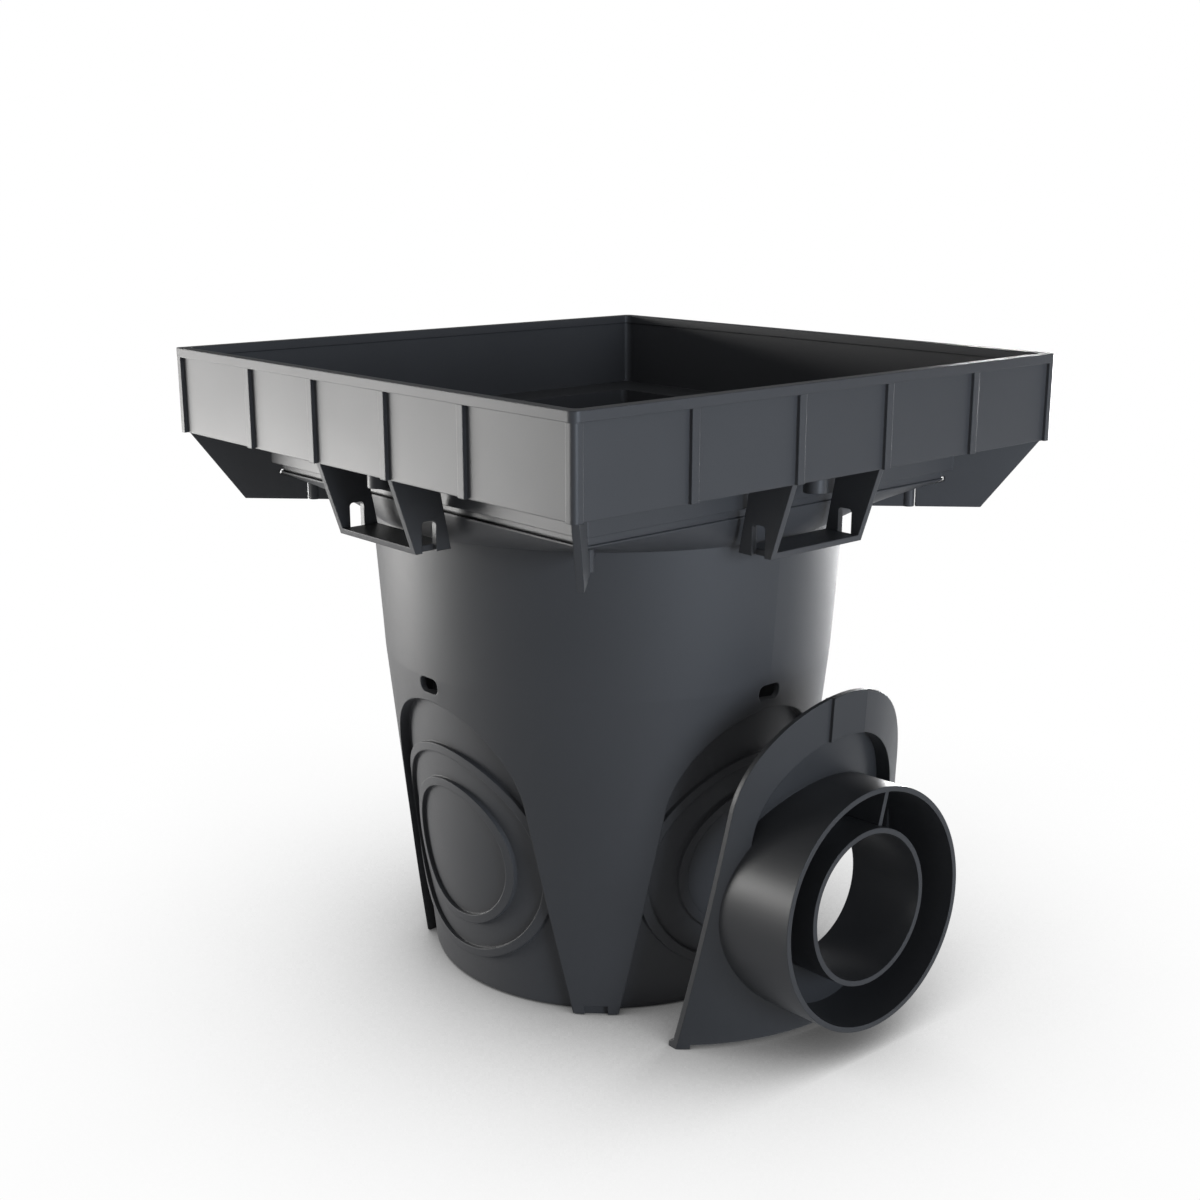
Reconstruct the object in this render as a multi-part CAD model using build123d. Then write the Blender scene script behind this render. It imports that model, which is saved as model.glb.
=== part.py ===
"""Square gully drain: a ribbed square collar on a round bucket with four arched knock-out
panels, and a two-size pipe adapter that stands beside it. Millimetres, +Z up, origin at the
centre of the base on the floor. The collar rests on the lip of the bucket."""
import math
import os

from build123d import *

# Collar: square hopper that takes the grate. Corner posts are measured from the corner of
# the plain wall, inwards.
RIM_HALF = 160.0
RIM_TOP = 321.4
RIM_BAND = 4.6
RIM_RADIUS = 3.7
RIM_PROUD_IN = 0.8
PANEL_HALF = 157.8
WALL = 2.5
WALL_BOTTOM = 277.4
INNER_RADIUS = 3.5
RIB_HALF = 159.6
RIB_WIDTH = 4.35
RIB_AT = 29.6
OUTER_RIB_X_SIDE = 94.2
OUTER_RIB_Y_SIDE = 87.2
POST_WIDTH = 3.2
POST_RADIUS = 2.4
SHELF = 2.0
SEAT_HALF = 124.0

# Lower box of the collar, two steps down to the bucket
STEP1_HALF = 126.5
STEP1_BOTTOM = 261.8
STEP2_HALF = 122.5
JOIN = 257.3
STEP_WALL = 3.0
STEP_RADIUS = 3.5
GROOVE_HEIGHT = 1.0
GROOVE_DEPTH = 1.2

# Anchor brackets under the shelf, one per side, legs in line with the inner ribs
LEG = 3.2
LEG_BOTTOM = 241.4
LEG_TOP_IN, LEG_TOP_OUT = 131.5, 156.3
LEG_LOW_IN, LEG_LOW_OUT = 124.6, 144.2
LEG_SLOT_IN, LEG_SLOT_OUT = 132.6, 140.6
LEG_SLOT_TOP = 256.0
LEG_SLOT_RADIUS = 1.8
BAR = 3.0
BOSS_AT = 142.0
BOSS_RADIUS = 5.5
BOSS_BOTTOM = 268.0

# Diagonal gussets, measured along the diagonal
GUSSET = 3.2
GUSSET_BOTTOM = 242.5
GUSSET_TOP_OUT = 221.0
GUSSET_LOW_OUT = 192.3
POST_AT = 155.6
POST_R = 3.0
GUSSET_CLEARANCE = 0.5
FUNNEL_CLEARANCE = 0.6
WEB_RISE = 0.3

# Bucket
BASE_RADIUS = 100.28
LOWER_SLOPE = 0.1025
KNEE = 170.5
CREASE = 243.4
CREASE_RADIUS = 122.5
LIP_HALF = 123.2
LIP = 0.8
LIP_RADIUS = 4.0
LIP_INNER_RADIUS = 3.0
FUNNEL_CORNER = 24.0
SHELL = 3.0
BASE_CHAMFER = 1.0
FOOT_ROUND = 3.5
ROUND_FACETS = 3

# Arched knock-out panel on each side of the bucket
ARCH_HALF = 62.5
ARCH_TAPER = 0.1
ARCH_TOP = 158.0
PANEL_DEPTH = 5.5
RING_HEIGHT = 75.8
RING_RADII = (57.7, 39.2)
RING_WIDTH = 4.5
RING_PROUD = 2.2
RING_OVERLAP = 0.6
SLOT_HEIGHT = 166.5
SLOT_WIDTH = 14.0
SLOT_TALL = 8.0
SLOT_RADIUS = 3.36
SLOT_IN = 20.0
FOOT_NOTCH_WIDTH = 12.0
FOOT_NOTCH_TALL = 5.4
FOOT_NOTCH_DEEP = 2.4

# Pipe adapter, upright and facing +X, its plate bent to the slope of the bucket
SEAT_GAP = 0.4
PLATE = 2.3
PLATE_BOTTOM = 1.2
PLATE_ROUND = 2.2
PLATE_FOOT_WIDTH = 5.0
PLATE_FOOT_TALL = 4.1
FLANGE_HALF = 71.8
FLANGE_TAPER = 0.12
FLANGE_OVER_SLOT = 7.1
FLANGE_TOP = SLOT_HEIGHT + FLANGE_OVER_SLOT
INSET_HALF = 60.8
INSET_TOP = 154.6
INSET_LOW = 50.0
INSET_DEPTH = 7.8
BIG_RADIUS, SMALL_RADIUS = 59.5, 38.4
PIPE_WALL = 2.6
PIPE_HEIGHT = 70.2
BIG_START, BIG_END = 70.0, 136.7
SMALL_START, SMALL_END = 90.5, 132.9
RIB = 2.4
RIB_TURN = 18.0
RIB_SHORT = 4.0
PAD_WIDTH = 23.0
PAD_LOW = 147.0
PAD_PROUD = 1.1
PAD_THICK = 2.6
HOOK_WIDTH = 3.4
HOOK_TALL = 4.6
HOOK_TIP = 2.7
HOOK_REACH = 1.9
TONGUE_WIDTH = 12.0
TONGUE_TALL = 6.0
TONGUE_REACH = 7.0
STAND_X, STAND_Y = 49.6, 10.7
STAND_YAW, STAND_TILT = -1.92, -2.84
STAND_PIVOT = 68.0

# Length of cutting prisms, past the widest face of the bucket, and how far a cut runs past
# its face or a rib starts inside its wall
BEYOND = 160.0
PAST = 1.0


def square(half, radius, low, high):
    """Upright square block with rounded corners, from height low to high."""
    return Pos(0, 0, low) * extrude(RectangleRounded(2 * half, 2 * half, radius), high - low)


def box(x0, x1, y0, y1, z0, z1):
    """Axis-aligned block between two corners."""
    centre = Pos((x0 + x1) / 2, (y0 + y1) / 2, (z0 + z1) / 2)
    return centre * Box(abs(x1 - x0), abs(y1 - y0), abs(z1 - z0))


def four(shape, first=0.0):
    """The shape turned to all four sides."""
    return [shape.rotate(Axis.Z, first + 90 * i) for i in range(4)]


def upright_plate(points, thickness):
    """Plate in the XZ plane, thickness shared to both sides of it."""
    face = Plane.XZ * make_face(Polyline(*points, close=True))
    return extrude(face, thickness / 2, both=True)


def cone(radius, slope, low, high):
    """Solid of revolution whose radius grows by slope per unit of height, radius at z = 0."""
    points = [(0, low), (radius + slope * low, low), (radius + slope * high, high), (0, high)]
    return revolve(Plane.XZ * make_face(Polyline(*points, close=True)), Axis.Z)


def rounded_foot(radius, slope, size, low):
    """Points up a rounded edge of the given size, from the underside into a wall leaning by slope."""
    turn = math.pi / 2 - math.atan(slope)
    back = size * math.tan(turn / 2)
    points = []
    for i in range(ROUND_FACETS + 1):
        angle = turn * i / ROUND_FACETS
        out = radius + slope * low - back + size * math.sin(angle)
        points.append((out, low + size * (1 - math.cos(angle))))
    return points


def rounded_cone(radius, slope, size, low, high):
    """Solid of revolution like cone, whose lower edge is rounded."""
    foot = rounded_foot(radius, slope, size, low)
    points = [(0, low), *foot, (radius + slope * high, high), (0, high)]
    return revolve(Plane.XZ * make_face(Polyline(*points, close=True)), Axis.Z)


def arch(half, taper, top, low, reach):
    """Arch-shaped prism along +X: tapering sides run tangent into a round head."""
    slant = math.hypot(1, taper)
    centre = (slant * top - half) / (slant - taper)
    radius = top - centre
    side = radius / slant
    shoulder = centre + radius * taper / slant
    low_half = half - taper * low
    sides = [
        Line((-side, shoulder), (-low_half, low)),
        Line((-low_half, low), (low_half, low)),
        Line((low_half, low), (side, shoulder)),
    ]
    head = ThreePointArc((side, shoulder), (0, top), (-side, shoulder))
    return extrude(Plane.YZ * make_face([*sides, head]), reach)


def eight_edges(corners, bulge, height):
    """Closed outline of four sides and four rounded corners, for a square or a circle."""
    edges = []
    for i in range(4):
        turn = Rot(0, 0, 90 * i)
        a, b, c = corners
        edges.append(turn * bulge(a, b))
        edges.append(turn * ThreePointArc(b, c, (b[1], b[0])))
    return Pos(0, 0, height) * make_face(edges)


def square_outline(half, radius, height):
    """Rounded square; the first side is the one at +X."""
    flat = half - radius
    middle = flat + radius * math.sqrt(0.5)
    return eight_edges([(half, -flat), (half, flat), (middle, middle)], Line, height)


def circle_outline(radius, height):
    """Circle split where the sides and corners of the square run down to it."""
    angle = math.radians(45 - FUNNEL_CORNER / 2)
    x, y = radius * math.cos(angle), radius * math.sin(angle)
    middle = radius * math.sqrt(0.5)

    def side(a, b):
        return ThreePointArc(a, (radius, 0), b)

    return eight_edges([(x, -y), (x, y), (middle, middle)], side, height)


def ring(outer, inner, low, high, height):
    """Tube along +X at the given height."""
    face = Circle(outer) - Circle(inner) if inner else Circle(outer)
    return Pos(0, 0, height) * extrude(Plane.YZ * face, high - low).moved(Location((low, 0, 0)))


def make_collar():
    """Hopper wall, ribs, grate shelf, stepped lower box, brackets and gussets."""
    band_bottom = RIM_TOP - RIM_BAND
    inner_half = PANEL_HALF - WALL
    shelf_top = WALL_BOTTOM + SHELF
    under = WALL_BOTTOM + SHELF / 2
    outside = square(PANEL_HALF, POST_RADIUS, WALL_BOTTOM, RIM_TOP)
    outside += square(RIM_HALF, RIM_RADIUS, band_bottom, RIM_TOP)
    posts = square(RIB_HALF, POST_RADIUS, WALL_BOTTOM, band_bottom)
    post_in = PANEL_HALF - POST_WIDTH
    post_out = RIB_HALF + PAST
    corner = box(post_in, post_out, post_in, post_out, WALL_BOTTOM, band_bottom)
    for part in four(corner):
        outside += posts & part
    for x_side, places in ((True, (RIB_AT, OUTER_RIB_X_SIDE)), (False, (RIB_AT, OUTER_RIB_Y_SIDE))):
        for place in places:
            for sign in (-1, 1):
                low, high = sign * place - RIB_WIDTH / 2, sign * place + RIB_WIDTH / 2
                for face in (-1, 1):
                    span = (face * (PANEL_HALF - PAST), face * RIB_HALF)
                    sides = (*span, low, high) if x_side else (low, high, *span)
                    outside += box(*sides, WALL_BOTTOM, band_bottom)
    outside -= square(inner_half, INNER_RADIUS, shelf_top, band_bottom)
    outside -= square(inner_half - RIM_PROUD_IN, INNER_RADIUS, band_bottom, RIM_TOP)

    outside += square(STEP1_HALF, STEP_RADIUS, STEP1_BOTTOM, under)
    outside += square(STEP2_HALF, STEP_RADIUS, JOIN, STEP1_BOTTOM)
    outside += make_brackets(under)
    step_in = STEP2_HALF - STEP_WALL
    outside -= square(SEAT_HALF, STEP_RADIUS, STEP1_BOTTOM + STEP_WALL, shelf_top)
    outside -= square(step_in, STEP_RADIUS, JOIN, STEP1_BOTTOM + STEP_WALL)
    for sign in (-1, 1):
        end = STEP2_HALF + PAST
        cut = (sign * (STEP2_HALF - GROOVE_DEPTH), sign * end)
        outside -= box(-end, end, *cut, JOIN, JOIN + GROOVE_HEIGHT)
    return outside


def make_brackets(under):
    """Anchor brackets, bosses and the outer halves of the gussets, all below the shelf."""
    rise = (under - LEG_BOTTOM) / (WALL_BOTTOM - LEG_BOTTOM)
    top_in = LEG_LOW_IN + rise * (LEG_TOP_IN - LEG_LOW_IN)
    top_out = LEG_LOW_OUT + rise * (LEG_TOP_OUT - LEG_LOW_OUT)
    leg_points = [(LEG_LOW_IN, LEG_BOTTOM), (LEG_LOW_OUT, LEG_BOTTOM), (top_out, under), (top_in, under)]
    leg = upright_plate(leg_points, LEG)
    window = box(LEG_SLOT_IN, LEG_SLOT_OUT, -LEG, LEG, LEG_BOTTOM - PAST, LEG_SLOT_TOP)
    top_edges = window.edges().filter_by(Axis.Y).sort_by(Axis.Z)[-2:]
    leg -= fillet(top_edges, LEG_SLOT_RADIUS)
    bar_front = LEG_LOW_OUT + BAR * (LEG_TOP_OUT - LEG_LOW_OUT) / (WALL_BOTTOM - LEG_BOTTOM)
    bar_back = LEG_LOW_IN + BAR * (LEG_TOP_IN - LEG_LOW_IN) / (WALL_BOTTOM - LEG_BOTTOM)
    bar_points = [
        (LEG_LOW_IN, LEG_BOTTOM),
        (LEG_LOW_OUT, LEG_BOTTOM),
        (bar_front, LEG_BOTTOM + BAR),
        (bar_back, LEG_BOTTOM + BAR),
    ]
    bracket = upright_plate(bar_points, 2 * RIB_AT - LEG)
    bracket += leg.moved(Location((0, RIB_AT, 0))) + leg.moved(Location((0, -RIB_AT, 0)))
    boss = Pos(BOSS_AT, 0, BOSS_BOTTOM) * extrude(Circle(BOSS_RADIUS), under - BOSS_BOTTOM)

    bucket_slope = (JOIN - LIP - CREASE) / (lip_diagonal() - CREASE_RADIUS)
    gusset_in = POST_AT + POST_R + GUSSET_CLEARANCE
    gap = FUNNEL_CLEARANCE

    def below_funnel(r):
        return CREASE + (r - CREASE_RADIUS) * bucket_slope - gap

    gusset_points = [
        (gusset_in, GUSSET_BOTTOM),
        (GUSSET_LOW_OUT, GUSSET_BOTTOM),
        (GUSSET_TOP_OUT, under),
        (STEP2_HALF * math.sqrt(2) - STEP_RADIUS, under),
        (STEP2_HALF * math.sqrt(2) - STEP_RADIUS, JOIN + LIP),
        (lip_diagonal() + gap, JOIN + LIP),
        (lip_diagonal() + gap, below_funnel(lip_diagonal())),
        (gusset_in, below_funnel(gusset_in)),
    ]
    gusset = upright_plate(gusset_points, GUSSET)
    parts = four(bracket) + four(boss) + four(gusset, 45)
    whole = parts[0]
    for part in parts[1:]:
        whole = whole + part
    return whole


def lip_diagonal():
    """Distance from the axis to the rounded corner of the bucket's lip."""
    return (LIP_HALF - LIP_RADIUS) * math.sqrt(2) + LIP_RADIUS


def make_bucket():
    """Square-to-round bucket with a two-slope body and four recessed arched panels."""
    knee_radius = BASE_RADIUS + LOWER_SLOPE * KNEE
    inner_base = BASE_RADIUS - SHELL
    outer_points = [
        (0, 0),
        (BASE_RADIUS - BASE_CHAMFER, 0),
        (BASE_RADIUS + LOWER_SLOPE * BASE_CHAMFER, BASE_CHAMFER),
        (knee_radius, KNEE),
        (CREASE_RADIUS, CREASE),
        (0, CREASE),
    ]
    inner_points = [
        (0, SHELL),
        (inner_base + LOWER_SLOPE * SHELL, SHELL),
        (knee_radius - SHELL, KNEE),
        (CREASE_RADIUS - SHELL, CREASE),
        (0, CREASE),
    ]
    shell = revolve(Plane.XZ * make_face(Polyline(*outer_points, close=True)), Axis.Z)
    lip_bottom = JOIN - LIP
    funnel = [
        circle_outline(CREASE_RADIUS, CREASE),
        square_outline(LIP_HALF, LIP_RADIUS, lip_bottom),
    ]
    shell += loft(funnel, ruled=True)
    shell += square(LIP_HALF, LIP_RADIUS, lip_bottom, JOIN)

    web_top = CREASE + (POST_AT - CREASE_RADIUS) * WEB_RISE
    web_points = [
        (CREASE_RADIUS - SHELL / 2, GUSSET_BOTTOM),
        (POST_AT, GUSSET_BOTTOM),
        (POST_AT, web_top),
        (CREASE_RADIUS - SHELL / 2, CREASE + PAST),
    ]
    web = upright_plate(web_points, GUSSET)
    post = Pos(POST_AT, 0, GUSSET_BOTTOM) * extrude(Circle(POST_R), web_top - GUSSET_BOTTOM)
    for part in four(web + post, 45):
        shell += part

    panel_radius = BASE_RADIUS - PANEL_DEPTH
    cutter = arch(ARCH_HALF, ARCH_TAPER, ARCH_TOP, -PAST, BEYOND)
    cutter -= rounded_cone(panel_radius, LOWER_SLOPE, FOOT_ROUND, 0, KNEE)
    grown = arch(ARCH_HALF + SHELL, ARCH_TAPER, ARCH_TOP + SHELL, -PAST, BEYOND)
    grown -= cone(panel_radius - SHELL, LOWER_SLOPE, -2 * PAST, KNEE)
    beads = make_beads()
    slot_top = SLOT_HEIGHT + SLOT_TALL / 2
    slot = box(
        knee_radius - SLOT_IN,
        knee_radius + SLOT_IN,
        -SLOT_WIDTH / 2,
        SLOT_WIDTH / 2,
        slot_top - SLOT_TALL,
        slot_top,
    )
    slot = fillet(slot.edges().filter_by(Axis.X), SLOT_RADIUS)
    notch = box(
        BASE_RADIUS - FOOT_NOTCH_DEEP,
        BASE_RADIUS + SHELL,
        -FOOT_NOTCH_WIDTH / 2,
        FOOT_NOTCH_WIDTH / 2,
        -PAST,
        FOOT_NOTCH_TALL,
    )
    pocket = box(
        BASE_RADIUS - FOOT_NOTCH_DEEP - SHELL,
        BASE_RADIUS + SHELL,
        -FOOT_NOTCH_WIDTH / 2 - SHELL,
        FOOT_NOTCH_WIDTH / 2 + SHELL,
        0,
        FOOT_NOTCH_TALL + SHELL,
    )
    cavity = revolve(Plane.XZ * make_face(Polyline(*inner_points, close=True)), Axis.Z)
    inner_lip = LIP_HALF - SHELL
    inner_funnel = [
        circle_outline(CREASE_RADIUS - SHELL, CREASE),
        square_outline(inner_lip, LIP_INNER_RADIUS, JOIN),
    ]
    cavity += loft(inner_funnel, ruled=True)
    for part in four(grown) + four(pocket, 45):
        cavity -= part
    for part in four(cutter):
        shell -= part
    for part in four(beads):
        shell += part
    shell -= cavity
    for part in four(slot):
        shell -= part
    for part in four(notch, 45):
        shell -= part
    return shell


def make_beads():
    """Two raised rings on the panel, concentric, cut off by the sides of the arch."""
    floor_radius = BASE_RADIUS - PANEL_DEPTH
    band = cone(floor_radius + RING_PROUD, LOWER_SLOPE, 0, KNEE)
    band -= cone(floor_radius - RING_OVERLAP, LOWER_SLOPE, 0, KNEE)
    opening = arch(ARCH_HALF + RING_OVERLAP, ARCH_TAPER, ARCH_TOP, 0, BEYOND)
    rings = [ring(r, r - RING_WIDTH, 0, BEYOND, RING_HEIGHT) for r in RING_RADII]
    return (rings[0] + rings[1]) & band & opening


def make_adapter():
    """Flanged plate with two concentric spigots, upright and facing +X."""
    back = BASE_RADIUS + SEAT_GAP
    front = back + PLATE
    floor = front - INSET_DEPTH
    high = FLANGE_TOP + PAST
    flange = arch(FLANGE_HALF, FLANGE_TAPER, FLANGE_TOP, 0, BEYOND)
    outer_inset = arch(INSET_HALF, ARCH_TAPER, INSET_TOP, INSET_LOW, BEYOND)
    inner_inset = arch(INSET_HALF - PLATE, ARCH_TAPER, INSET_TOP - PLATE, INSET_LOW + PLATE, BEYOND)
    skin = rounded_cone(front, LOWER_SLOPE, PLATE_ROUND, PLATE_BOTTOM, high)
    plate = (flange & skin) - cone(back, LOWER_SLOPE, 0, high)
    for sign in (-1, 1):
        sides = (sign * (FLANGE_HALF - PLATE_FOOT_WIDTH), sign * (FLANGE_HALF + PAST))
        foot = box(0, BEYOND, *sides, 0, PLATE_FOOT_TALL) & flange
        plate += (foot & cone(front, LOWER_SLOPE, 0, high)) - cone(back, LOWER_SLOPE, 0, high)
    plate += (outer_inset & skin) - cone(floor - PLATE, LOWER_SLOPE, 0, high)

    pad_face = front + PAD_PROUD
    pad_points = [
        (pad_face + LOWER_SLOPE * PAD_LOW - PAD_THICK, PAD_LOW),
        (pad_face + LOWER_SLOPE * PAD_LOW, PAD_LOW),
        (pad_face + LOWER_SLOPE * high, high),
        (pad_face + LOWER_SLOPE * high - PAD_THICK, high),
    ]
    pad = upright_plate(pad_points, PAD_WIDTH) & flange
    plate += pad - cone(front - PLATE / 2, LOWER_SLOPE, 0, high + PAST)
    plate -= inner_inset - cone(floor, LOWER_SLOPE, 0, high)

    behind = cone(front - PLATE / 2, LOWER_SLOPE, -PAST, high) - outer_inset
    behind += cone(floor - PLATE / 2, LOWER_SLOPE, -PAST, high)
    rib_low = PIPE_HEIGHT + SMALL_RADIUS - PIPE_WALL / 2
    rib_high = PIPE_HEIGHT + BIG_RADIUS - PIPE_WALL / 2
    rib = box(BIG_START, SMALL_END - RIB_SHORT, -RIB / 2, RIB / 2, rib_low, rib_high)
    rib = rib.rotate(Axis((0, 0, PIPE_HEIGHT), (1, 0, 0)), -RIB_TURN)
    big = ring(BIG_RADIUS, BIG_RADIUS - PIPE_WALL, BIG_START, BIG_END, PIPE_HEIGHT)
    plate += (big + rib) - behind
    plate += ring(SMALL_RADIUS, 0, SMALL_START, SMALL_END, PIPE_HEIGHT)
    bore = (SMALL_START - PAST, SMALL_END + PAST)
    plate -= ring(SMALL_RADIUS - PIPE_WALL, 0, *bore, PIPE_HEIGHT)

    at_slot = back + LOWER_SLOPE * SLOT_HEIGHT
    plate += box(
        at_slot - TONGUE_REACH,
        at_slot + PLATE / 2,
        -TONGUE_WIDTH / 2,
        TONGUE_WIDTH / 2,
        SLOT_HEIGHT - TONGUE_TALL / 2,
        SLOT_HEIGHT + TONGUE_TALL / 2,
    )
    edge = math.sqrt(back**2 - FLANGE_HALF**2)
    hook_points = [
        (edge - HOOK_REACH, 0),
        (edge + PLATE, 0),
        (edge + PLATE, HOOK_TALL),
        (edge - HOOK_REACH, HOOK_TIP),
    ]
    hook = upright_plate(hook_points, HOOK_WIDTH)
    for sign in (-1, 1):
        beside = hook.moved(Location((0, sign * (FLANGE_HALF - HOOK_WIDTH / 2), 0)))
        plate += beside & flange
    return plate


def stand(adapter):
    """The adapter pulled away from the bucket, on the floor beside it."""
    adapter = adapter.rotate(Axis((STAND_PIVOT, 0, 0), (0, 1, 0)), STAND_TILT)
    adapter = adapter.rotate(Axis.Z, STAND_YAW).moved(Location((STAND_X, STAND_Y, 0)))
    return adapter.moved(Location((0, 0, -adapter.bounding_box().min.Z)))


os.makedirs("parts", exist_ok=True)
export_step(make_collar(), "parts/collar.step")
export_step(make_bucket(), "parts/bucket.step")
export_step(stand(make_adapter()), "parts/pipe_adapter.step")
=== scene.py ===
# %% [markdown]
# # A square gully drain in black plastic
# The drain is two mouldings, a square hopper and a round bucket under it, and a loose pipe
# adapter stands beside them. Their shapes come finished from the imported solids, so this lesson
# is about making dark plastic read well: a satin finish with softened edges and a fine grain,
# and lamps placed where the walls mirror them.

import math

import bpy
import numpy as np
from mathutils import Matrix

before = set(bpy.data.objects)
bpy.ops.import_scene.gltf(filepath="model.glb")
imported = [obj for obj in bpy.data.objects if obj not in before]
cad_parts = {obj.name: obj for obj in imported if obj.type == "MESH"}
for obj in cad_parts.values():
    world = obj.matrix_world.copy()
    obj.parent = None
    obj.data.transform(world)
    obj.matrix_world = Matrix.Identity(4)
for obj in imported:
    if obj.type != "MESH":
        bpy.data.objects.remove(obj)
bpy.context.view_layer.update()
scene = bpy.context.scene
print("solids:", sorted(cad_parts))

# %% [markdown]
# Shader maths is easier to read as ordinary expressions. The small class below wraps a socket,
# so `1 - mask` or `mask * 0.2` adds the Math node for us. Any other node comes from `add_node`,
# which takes a node's type, its settings, and a value or a link for each socket, given by name
# or by number.

# %% Expressions on sockets
class Value:
    """A socket that can be used in sums and products, alone or with plain numbers."""

    def __init__(self, tree, socket):
        self.tree, self.socket = tree, socket

    def math(self, kind, first, second):
        """First and second joined by a Math node of this kind."""
        return add_node(self.tree, "ShaderNodeMath", {"operation": kind}, {0: first, 1: second})

    def __add__(self, other):
        return self.math("ADD", self, other)

    def __sub__(self, other):
        return self.math("SUBTRACT", self, other)

    def __rsub__(self, other):
        return self.math("SUBTRACT", other, self)

    def __mul__(self, other):
        return self.math("MULTIPLY", self, other)

    __radd__, __rmul__ = __add__, __mul__


def set_stops(colour_ramp, stops):
    """Give a colour ramp grey stops, each a place along the ramp and a level."""
    while len(colour_ramp.elements) < len(stops):
        colour_ramp.elements.new(0.5)
    for element, (place, grey) in zip(colour_ramp.elements, stops):
        element.position = place
        element.color = (grey, grey, grey, 1)


def add_node(tree, kind, settings=None, sockets=None, out=0):
    """Add a node with its settings, then its sockets, and hand back one of its outputs."""
    new = tree.nodes.new(kind)
    for key, item in (settings or {}).items():
        if key == "stops":
            set_stops(new.color_ramp, item)
        else:
            setattr(new, key, item)
    for key, item in (sockets or {}).items():
        if isinstance(item, Value):
            tree.links.new(item.socket, new.inputs[key])
        else:
            new.inputs[key].default_value = item
    return Value(tree, new.outputs[out]) if new.outputs else None


def empty_tree(owner):
    """Switch on the nodes of a material or a world, and clear them."""
    owner.use_nodes = True
    owner.node_tree.nodes.clear()
    return owner.node_tree


print("shader helpers ready")

# %% [markdown]
# Moulded polypropylene is satin rather than matt. Its colour hardly varies, but three things keep
# it from looking like computer plastic: cloudy patches where the melt met the tool, so the gloss
# changes slowly; a fine spark-eroded grain that only shows in the highlights; and edges that are
# never sharp. The Bevel node rounds the shading at every edge, so no extra geometry is needed.
# The three patterns are noise at three scales, read in Object coordinates, so they keep their
# true size on every mesh.

# %% Charcoal plastic
CLOUD = {"Scale": 14.0, "Detail": 3.0, "Roughness": 0.55}
FLOW = {"Scale": 45.0, "Detail": 2.0, "Roughness": 0.5}
SPARK = {"Scale": 1400.0, "Detail": 2.0, "Roughness": 0.6}
FLECK_STOPS = [(0.35, 0.0), (0.75, 1.0)]
CLOUD_SHARE = 0.7
SPARK_SHARE = 0.7
COLOUR_DRIFT = 0.10
CLOUD_GLOSS = 0.14
FLECK_GLOSS = 0.06
GRAIN_DEPTH = 0.0004
BEVEL_SAMPLES = 4
# A Mix node has a socket of the same name for every type, so its colours go by number.
MIX_FACTOR, MIX_LOW, MIX_HIGH, MIX_COLOUR = 0, 6, 7, 2


def toned(colour, factor):
    """The colour times a factor, opaque."""
    return (*(part * factor for part in colour), 1)


def moulded_plastic(name, colour, rough, grain, edge):
    """Satin plastic: a slow drift of colour, cloudy gloss, fine grain and softened edges."""
    material = bpy.data.materials.new(name)
    tree = empty_tree(material)
    place = add_node(tree, "ShaderNodeTexCoord", out="Object")
    cloud, flow, spark = (
        add_node(tree, "ShaderNodeTexNoise", sockets={"Vector": place, **pattern})
        for pattern in (CLOUD, FLOW, SPARK)
    )
    fleck = add_node(tree, "ShaderNodeValToRGB", {"stops": FLECK_STOPS}, {0: spark})
    tones = {
        MIX_FACTOR: cloud * CLOUD_SHARE + fleck * (1 - CLOUD_SHARE),
        MIX_LOW: toned(colour, 1 - COLOUR_DRIFT),
        MIX_HIGH: toned(colour, 1 + COLOUR_DRIFT),
    }
    bumps = {
        "Strength": grain,
        "Distance": GRAIN_DEPTH,
        "Height": spark * SPARK_SHARE + flow * (1 - SPARK_SHARE),
        "Normal": add_node(
            tree, "ShaderNodeBevel", {"samples": BEVEL_SAMPLES}, {"Radius": edge}
        ),
    }
    mean_gloss = (CLOUD_GLOSS + FLECK_GLOSS) / 2
    surface = {
        "Base Color": add_node(
            tree, "ShaderNodeMix", {"data_type": "RGBA"}, tones, out=MIX_COLOUR
        ),
        "Roughness": cloud * CLOUD_GLOSS + fleck * FLECK_GLOSS + (rough - mean_gloss),
        "Normal": add_node(tree, "ShaderNodeBump", sockets=bumps),
        "Metallic": 0.0,
        "IOR": 1.5,
    }
    shader = add_node(tree, "ShaderNodeBsdfPrincipled", sockets=surface)
    add_node(tree, "ShaderNodeOutputMaterial", sockets={"Surface": shader})
    return material


print("noise scales per metre:", [pattern["Scale"] for pattern in (CLOUD, FLOW, SPARK)])

# %% [markdown]
# The hopper and the bucket are the same charcoal, the bucket a little duller. The adapter is a
# separate moulding and a little glossier; its charcoal is darkened as painted shade, for the shade
# it stands in beside the bucket.

# %% Finishes on the three mouldings
CHARCOAL = (0.070, 0.071, 0.075)
# A darker copy of the same charcoal, used as painted shade on the adapter.
CHARCOAL_PAINTED_SHADE = (0.052, 0.053, 0.056)
finishes = {
    "collar": moulded_plastic("collar_plastic", CHARCOAL, rough=0.42, grain=0.10, edge=0.0008),
    "bucket": moulded_plastic("bucket_plastic", CHARCOAL, rough=0.50, grain=0.08, edge=0.0008),
    # The adapter's darker charcoal is painted shade, not a different plastic colour.
    "pipe_adapter": moulded_plastic(
        "adapter_plastic_painted_shade", CHARCOAL_PAINTED_SHADE, rough=0.38, grain=0.08, edge=0.0006
    ),
}
for name, finish in finishes.items():
    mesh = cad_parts[name].data
    mesh.materials.clear()
    mesh.materials.append(finish)
print("finishes:", sorted(finishes))

# %% [markdown]
# The object stands on white, with a soft grey shade close around its foot and no horizon. Shadows
# of the lamps would be harder and fall to one side, so the shade is worked out instead: what the
# camera sees is white, darkened by how much of the sky above each point the object hides. All
# other rays meet a plain matt floor, because a glowing one would light the object from below.

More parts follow.
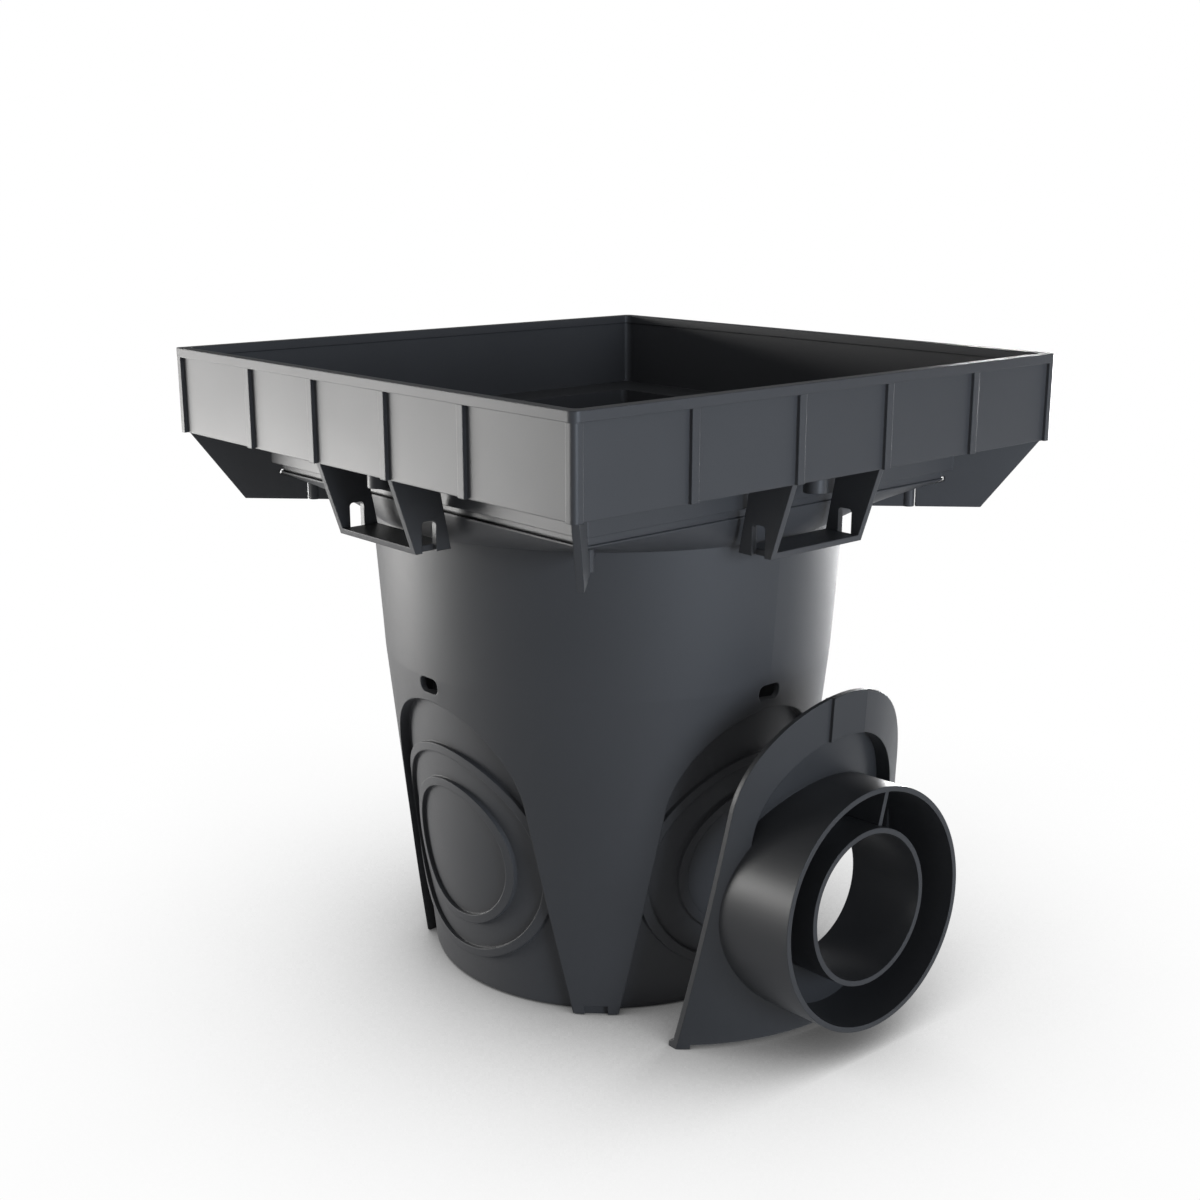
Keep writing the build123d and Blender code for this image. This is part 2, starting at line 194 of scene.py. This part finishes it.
# %% Floor
FLOOR_HALF = 6.0
FLOOR_MATT = (0.8, 0.8, 0.8, 1)
SHADE_REACH = 0.42
SHADE_STOPS = [(0.0, 0.0), (0.3, 0.16), (0.5, 0.42), (0.62, 0.67), (0.74, 0.88), (0.88, 1.0)]
SKY_SAMPLES = 16


def floor_sheet(half):
    """Square sheet at z = 0, corners at plus and minus half."""
    corners = np.array([[-1, -1, 0], [1, -1, 0], [1, 1, 0], [-1, 1, 0]], float) * half
    mesh = bpy.data.meshes.new("floor_sheet")
    mesh.from_pydata(corners.tolist(), [], [(0, 1, 2, 3)])
    sheet = bpy.data.objects.new("floor_sheet", mesh)
    scene.collection.objects.link(sheet)
    return sheet


def pale_floor(name, reach, stops):
    """White that turns grey where the object hides more of the sky within reach."""
    material = bpy.data.materials.new(name)
    tree = empty_tree(material)
    open_sky = add_node(
        tree, "ShaderNodeAmbientOcclusion", {"samples": SKY_SAMPLES}, {"Distance": reach}, out="AO"
    )
    shade = add_node(tree, "ShaderNodeValToRGB", {"stops": stops}, {0: open_sky})
    matt = add_node(tree, "ShaderNodeBsdfDiffuse", sockets={"Color": FLOOR_MATT})
    white = add_node(tree, "ShaderNodeEmission", sockets={"Color": shade, "Strength": 1.0})
    camera_ray = add_node(tree, "ShaderNodeLightPath", out="Is Camera Ray")
    seen = add_node(tree, "ShaderNodeMixShader", sockets={0: camera_ray, 1: matt, 2: white})
    add_node(tree, "ShaderNodeOutputMaterial", sockets={"Surface": seen})
    return material


floor = floor_sheet(FLOOR_HALF)
floor.data.materials.append(pale_floor("pale_floor", SHADE_REACH, SHADE_STOPS))
print("floor shade reaches", SHADE_REACH, "m")

# %% [markdown]
# Behind the object the camera sees pure white. A world that bright would wash out dark plastic,
# so the object itself is lit by about a fifth of it, slightly cool, and lamps do the rest.

# %% World
WHITE = (1, 1, 1, 1)
SKY_TINT = (0.95, 0.97, 1, 1)
WORLD_LIGHT = 0.19

world = bpy.data.worlds.new("studio")
scene.world = world
sky = empty_tree(world)
backdrop = add_node(sky, "ShaderNodeBackground", sockets={"Color": WHITE, "Strength": 1.0})
daylight = add_node(
    sky, "ShaderNodeBackground", sockets={"Color": SKY_TINT, "Strength": WORLD_LIGHT}
)
camera_ray = add_node(sky, "ShaderNodeLightPath", out="Is Camera Ray")
seen = add_node(sky, "ShaderNodeMixShader", sockets={0: camera_ray, 1: daylight, 2: backdrop})
add_node(sky, "ShaderNodeOutputWorld", sockets={"Surface": seen})
print("world light:", WORLD_LIGHT)

# %% [markdown]
# Satin plastic shows its lamps as soft mirror images, so each lamp is placed by where a wall
# throws our view. The walls that face left send it far to the left and slightly behind, so the
# broad key lamp stands there. The far edge of the bucket sends it behind the object, and a
# strip there draws that edge. The bucket narrows downwards and throws our view at the floor, so
# a small lamp lies low on its left. A weak bluish one gives the right half its cool band.

# %% Lamps
AIM_HEIGHT = 0.17
WARM = (1, 0.99, 0.97)
PLAIN = (1, 1, 1)
BLUISH = (0.78, 0.87, 1)


def lamp(name, turn, distance, height, wide, tall, watts, colour):
    """Flat lamp at distance * (cos turn, sin turn), facing the object's axis at AIM_HEIGHT."""
    data = bpy.data.lights.new(name, "AREA")
    data.shape = "RECTANGLE"
    data.size, data.size_y, data.energy, data.color = wide, tall, watts, colour
    item = bpy.data.objects.new(name, data)
    angle = math.radians(turn)
    item.location = (distance * math.cos(angle), distance * math.sin(angle), height)
    tip = math.atan2(height - AIM_HEIGHT, distance)
    item.rotation_euler = (math.pi / 2 - tip, 0, angle + math.pi / 2)
    scene.collection.objects.link(item)


lamp(
    "key_left", turn=-148, distance=3.6, height=0.36, wide=2.6, tall=0.7, watts=52, colour=WARM
)
lamp(
    "low_left", turn=-145, distance=0.8, height=0.09, wide=0.42, tall=0.16, watts=2.8, colour=WARM
)
lamp(
    "edge_back", turn=103, distance=2.1, height=0.24, wide=1.4, tall=0.42, watts=112, colour=PLAIN
)
lamp(
    "cool_right", turn=0, distance=2.2, height=0.45, wide=1.0, tall=0.8, watts=22, colour=BLUISH
)

# %% [markdown]
# The camera comes from a fit of the drain's straight edges in the photograph: it stands in front
# of the corner between the two sides that face us and looks slightly down.

# %% Camera
SENSOR_MM = 36.0
LENS_MM = 48.53
CAMERA_PLACE = (0.6221, -0.5538, 0.4062)
CAMERA_TIP = 75.411
CAMERA_TURN = 48.614

camera_data = bpy.data.cameras.new("camera")
camera_data.sensor_width = SENSOR_MM
camera_data.lens = LENS_MM
camera = bpy.data.objects.new("camera", camera_data)
camera.location = CAMERA_PLACE
camera.rotation_euler = (math.radians(CAMERA_TIP), 0, math.radians(CAMERA_TURN))
scene.collection.objects.link(camera)
scene.camera = camera
scene.view_settings.view_transform = "Standard"
print("camera at", tuple(round(part, 3) for part in camera.location))
